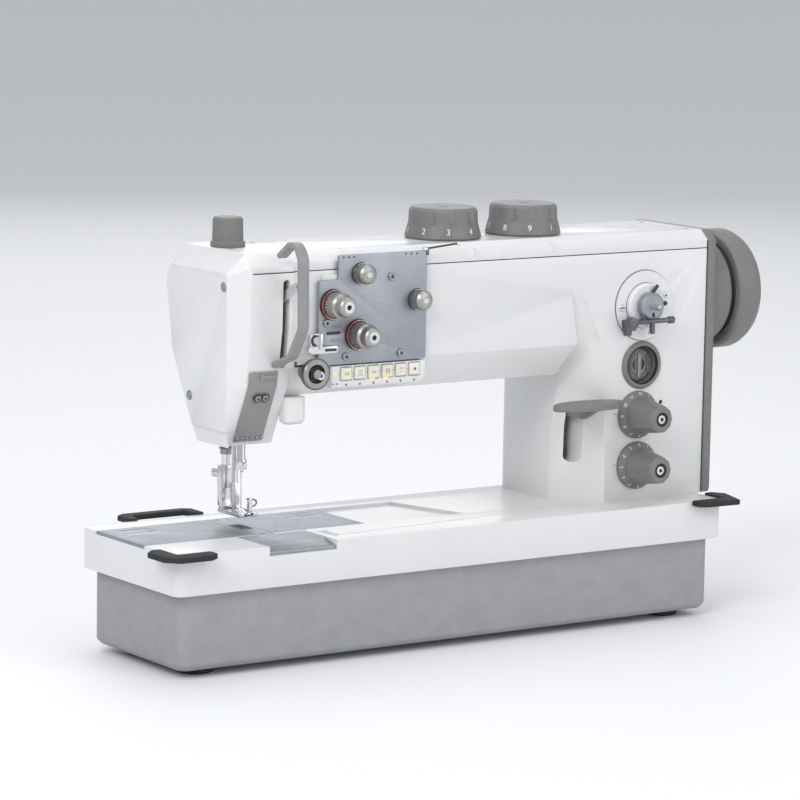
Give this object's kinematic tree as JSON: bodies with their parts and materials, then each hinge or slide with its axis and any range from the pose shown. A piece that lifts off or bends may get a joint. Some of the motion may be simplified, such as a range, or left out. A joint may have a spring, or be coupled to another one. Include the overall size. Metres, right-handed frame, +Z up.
{
  "type": "leather sewing machine",
  "caption": "Flat-bed walking-foot lockstitch machine head for leather: bed with slide plates, column and arm, needle head, tension unit, dials, winder and handwheel.",
  "frame": {"origin": "on the floor, under the middle of the machine's bounding box", "axes": "+X to the right along the arm, from the needle to the handwheel; +Y away from the operator; +Z up"},
  "size_m": [0.689, 0.212, 0.3883],
  "materials": {
    "body_paint": "satin off-white enamel",
    "cover_paint": "satin off-white moulding",
    "grey_plastic": "mid-grey moulded plastic",
    "knob_metal": "satin turned metal",
    "plate_steel": "satin bluish steel",
    "bright_steel": "polished steel",
    "dark_steel": "blackened steel",
    "guard_metal": "grey enamel",
    "button_plastic": "cream moulded plastic",
    "cushion_rubber": "black rubber",
    "pan_plastic": "dark grey moulded plastic",
    "sight_glass": "clear window",
    "belt_rubber": "black rubber",
    "bearing_metal": "oiled bearing steel",
    "bobbin_alloy": "bright alloy"
  },
  "bodies": {
    "machine": {"bed_casting": "body_paint", "oil_pan": "pan_plastic", "rubber_cushions": "cushion_rubber", "arm_casting": "body_paint", "arm_top_cover": "cover_paint", "face_cover": "cover_paint", "cover_screws": "plate_steel", "head_side_plate": "guard_metal", "sewing_light": "cover_paint", "take_up_guard": "guard_metal", "tension_plate": "plate_steel", "tension_posts_and_discs": "bright_steel", "thread_regulator": "bright_steel", "check_spring_housing": "bearing_metal", "button_panel": "cover_paint", "winder_plate": "cover_paint", "oil_sight_bezel": "grey_plastic", "oil_sight_lens": "sight_glass", "end_cover": "grey_plastic", "toothed_belt": "belt_rubber", "bushings_and_pins": "bearing_metal", "hook_gearbox": "dark_steel", "bobbin_case": "bright_steel", "needle_plate": "plate_steel", "front_bed_plate": "plate_steel"},
    "upper_drive": {"handwheel": "grey_plastic", "arm_shaft": "dark_steel"},
    "lower_drive": {"lower_shaft": "dark_steel"},
    "hook_body": {"hook": "bright_steel"},
    "bobbin_body": {"bobbin": "bobbin_alloy"},
    "needle_frame": {"needle_bar_frame": "dark_steel"},
    "feed": {"feed_dog": "dark_steel"},
    "needle_unit": {"needle_bar": "bright_steel", "needle": "bright_steel"},
    "inner_foot_unit": {"inner_foot": "bright_steel"},
    "presser_unit": {"presser_bar": "bright_steel", "presser_foot": "bright_steel"},
    "lift_lever_unit": {"lift_lever": "guard_metal"},
    "take_up_unit": {"take_up_lever": "bright_steel"},
    "left_stroke": {"left_stroke_dial": "grey_plastic"},
    "right_stroke": {"right_stroke_dial": "grey_plastic"},
    "pressure": {"pressure_knob": "grey_plastic"},
    "upper_stitch": {"upper_stitch_dial": "grey_plastic"},
    "lower_stitch": {"lower_stitch_dial": "grey_plastic"},
    "upper_tension_nut": {"upper_tension_knob": "knob_metal"},
    "lower_tension_nut": {"lower_tension_knob": "knob_metal"},
    "upper_pretension_nut": {"upper_pretension_knob": "knob_metal"},
    "right_pretension_nut": {"right_pretension_knob": "knob_metal"},
    "check_spring_unit": {"check_spring": "dark_steel"},
    "button_1": {"push_button_1": "button_plastic"},
    "button_2": {"push_button_2": "button_plastic"},
    "button_3": {"push_button_3": "button_plastic"},
    "button_4": {"push_button_4": "button_plastic"},
    "button_5": {"push_button_5": "button_plastic"},
    "button_6": {"push_button_6": "button_plastic"},
    "reverse_unit": {"reverse_lever": "grey_plastic"},
    "winder_spindle_unit": {"winder_spindle": "plate_steel"},
    "winder_lever_unit": {"winder_lever": "dark_steel"},
    "left_slide": {"left_slide_plate": "plate_steel"},
    "right_slide": {"right_slide_plate": "plate_steel"}
  },
  "joints": [
    {"name": "handwheel_spin", "type": "hinge", "parent": "machine", "child": "upper_drive", "pos_m": [0.0735, 0.008, 0.297], "axis": [1, 0, 0], "continuous": true},
    {"name": "lower_shaft_spin", "type": "hinge", "parent": "machine", "child": "lower_drive", "pos_m": [0.0735, 0.008, 0.039], "axis": [1, 0, 0], "continuous": true},
    {"name": "hook_spin", "type": "hinge", "parent": "machine", "child": "hook_body", "pos_m": [-0.2255, 0.008, 0.071], "axis": [0, 0, 1], "continuous": true},
    {"name": "bobbin_spin", "type": "hinge", "parent": "machine", "child": "bobbin_body", "pos_m": [-0.2255, 0.008, 0.083], "axis": [0, 0, 1], "continuous": true},
    {"name": "needle_frame_swing", "type": "hinge", "parent": "machine", "child": "needle_frame", "pos_m": [-0.2043, 0.007, 0.336], "axis": [1, 0, 0], "range_deg": [-1.2, 1.2]},
    {"name": "feed_dog_slide", "type": "slide", "parent": "machine", "child": "feed", "axis": [0, 1, 0], "range_m": [-0.0048, 0.0048]},
    {"name": "needle_bar_slide", "type": "slide", "parent": "needle_frame", "child": "needle_unit", "axis": [0, 0, 1], "range_m": [-0.034, 0.002]},
    {"name": "inner_foot_slide", "type": "slide", "parent": "needle_frame", "child": "inner_foot_unit", "axis": [0, 0, 1], "range_m": [-0.0107, 0.009]},
    {"name": "presser_bar_slide", "type": "slide", "parent": "machine", "child": "presser_unit", "axis": [0, 0, 1], "range_m": [-0.0107, 0.009]},
    {"name": "lift_lever_turn", "type": "hinge", "parent": "machine", "child": "lift_lever_unit", "pos_m": [-0.2145, 0.072, 0.263], "axis": [0, 1, 0], "range_deg": [-35, 41]},
    {"name": "take_up_lever_swing", "type": "hinge", "parent": "machine", "child": "take_up_unit", "pos_m": [-0.1965, -0.026, 0.314], "axis": [1, 0, 0], "range_deg": [-5, 45]},
    {"name": "left_stroke_dial_turn", "type": "hinge", "parent": "machine", "child": "left_stroke", "pos_m": [0.0075, 0.005, 0.361], "axis": [0, 0, 1], "range_deg": [-150, 150]},
    {"name": "right_stroke_dial_turn", "type": "hinge", "parent": "machine", "child": "right_stroke", "pos_m": [0.0965, 0.004, 0.361], "axis": [0, 0, 1], "range_deg": [-150, 150]},
    {"name": "pressure_knob_turn", "type": "hinge", "parent": "machine", "child": "pressure", "pos_m": [-0.2115, 0.022, 0.361], "axis": [0, 0, 1], "range_deg": [-720, 720]},
    {"name": "upper_stitch_dial_turn", "type": "hinge", "parent": "machine", "child": "upper_stitch", "pos_m": [0.1945, -0.068, 0.1913], "axis": [0, 1, 0], "range_deg": [-150, 150]},
    {"name": "lower_stitch_dial_turn", "type": "hinge", "parent": "machine", "child": "lower_stitch", "pos_m": [0.1945, -0.068, 0.1436], "axis": [0, 1, 0], "range_deg": [-150, 150]},
    {"name": "upper_tension_knob_turn", "type": "hinge", "parent": "machine", "child": "upper_tension_nut", "pos_m": [-0.149, -0.068, 0.3133], "axis": [0, 1, 0], "range_deg": [-360, 360]},
    {"name": "lower_tension_knob_turn", "type": "hinge", "parent": "machine", "child": "lower_tension_nut", "pos_m": [-0.1223, -0.068, 0.2853], "axis": [0, 1, 0], "range_deg": [-360, 360]},
    {"name": "upper_pretension_knob_turn", "type": "hinge", "parent": "machine", "child": "upper_pretension_nut", "pos_m": [-0.12, -0.068, 0.3394], "axis": [0, 1, 0], "range_deg": [-360, 360]},
    {"name": "right_pretension_knob_turn", "type": "hinge", "parent": "machine", "child": "right_pretension_nut", "pos_m": [-0.0595, -0.068, 0.3132], "axis": [0, 1, 0], "range_deg": [-360, 360]},
    {"name": "check_spring_flick", "type": "hinge", "parent": "machine", "child": "check_spring_unit", "pos_m": [-0.174, -0.058, 0.255], "axis": [0, 1, 0], "range_deg": [-30, 0], "stiffness_Nm_per_rad": 0.02, "springref_deg": 5.73},
    {"name": "push_button_1_press", "type": "slide", "parent": "machine", "child": "button_1", "axis": [0, 1, 0], "range_m": [0, 0.0015], "stiffness_N_per_m": 600, "springref_m": -0.0005},
    {"name": "push_button_2_press", "type": "slide", "parent": "machine", "child": "button_2", "axis": [0, 1, 0], "range_m": [0, 0.0015], "stiffness_N_per_m": 600, "springref_m": -0.0005},
    {"name": "push_button_3_press", "type": "slide", "parent": "machine", "child": "button_3", "axis": [0, 1, 0], "range_m": [0, 0.0015], "stiffness_N_per_m": 600, "springref_m": -0.0005},
    {"name": "push_button_4_press", "type": "slide", "parent": "machine", "child": "button_4", "axis": [0, 1, 0], "range_m": [0, 0.0015], "stiffness_N_per_m": 600, "springref_m": -0.0005},
    {"name": "push_button_5_press", "type": "slide", "parent": "machine", "child": "button_5", "axis": [0, 1, 0], "range_m": [0, 0.0015], "stiffness_N_per_m": 600, "springref_m": -0.0005},
    {"name": "push_button_6_press", "type": "slide", "parent": "machine", "child": "button_6", "axis": [0, 1, 0], "range_m": [0, 0.0015], "stiffness_N_per_m": 600, "springref_m": -0.0005},
    {"name": "reverse_lever_press", "type": "hinge", "parent": "machine", "child": "reverse_unit", "pos_m": [0.139, 0.013, 0.194], "axis": [1, 0, 0], "range_deg": [0, 25], "stiffness_Nm_per_rad": 2, "springref_deg": -17.19},
    {"name": "winder_spindle_spin", "type": "hinge", "parent": "machine", "child": "winder_spindle_unit", "pos_m": [0.199, -0.058, 0.2933], "axis": [0, 1, 0], "continuous": true},
    {"name": "winder_lever_press", "type": "hinge", "parent": "machine", "child": "winder_lever_unit", "pos_m": [0.1725, -0.066, 0.2805], "axis": [0, 1, 0], "range_deg": [0, 20]},
    {"name": "left_slide_pull", "type": "slide", "parent": "machine", "child": "left_slide", "axis": [1, 0, 0], "range_m": [-0.09, 0]},
    {"name": "right_slide_pull", "type": "slide", "parent": "machine", "child": "right_slide", "axis": [1, 0, 0], "range_m": [0, 0.07]}
  ],
  "couplings": [
    {"joint": "lower_shaft_spin", "follows": "handwheel_spin", "ratio": 1},
    {"joint": "hook_spin", "follows": "handwheel_spin", "ratio": -2},
    {"joint": "feed_dog_slide", "follows": "needle_frame_swing", "m_per_rad": 0.225},
    {"joint": "lift_lever_turn", "follows": "presser_bar_slide", "rad_per_m": -65.2}
  ]
}
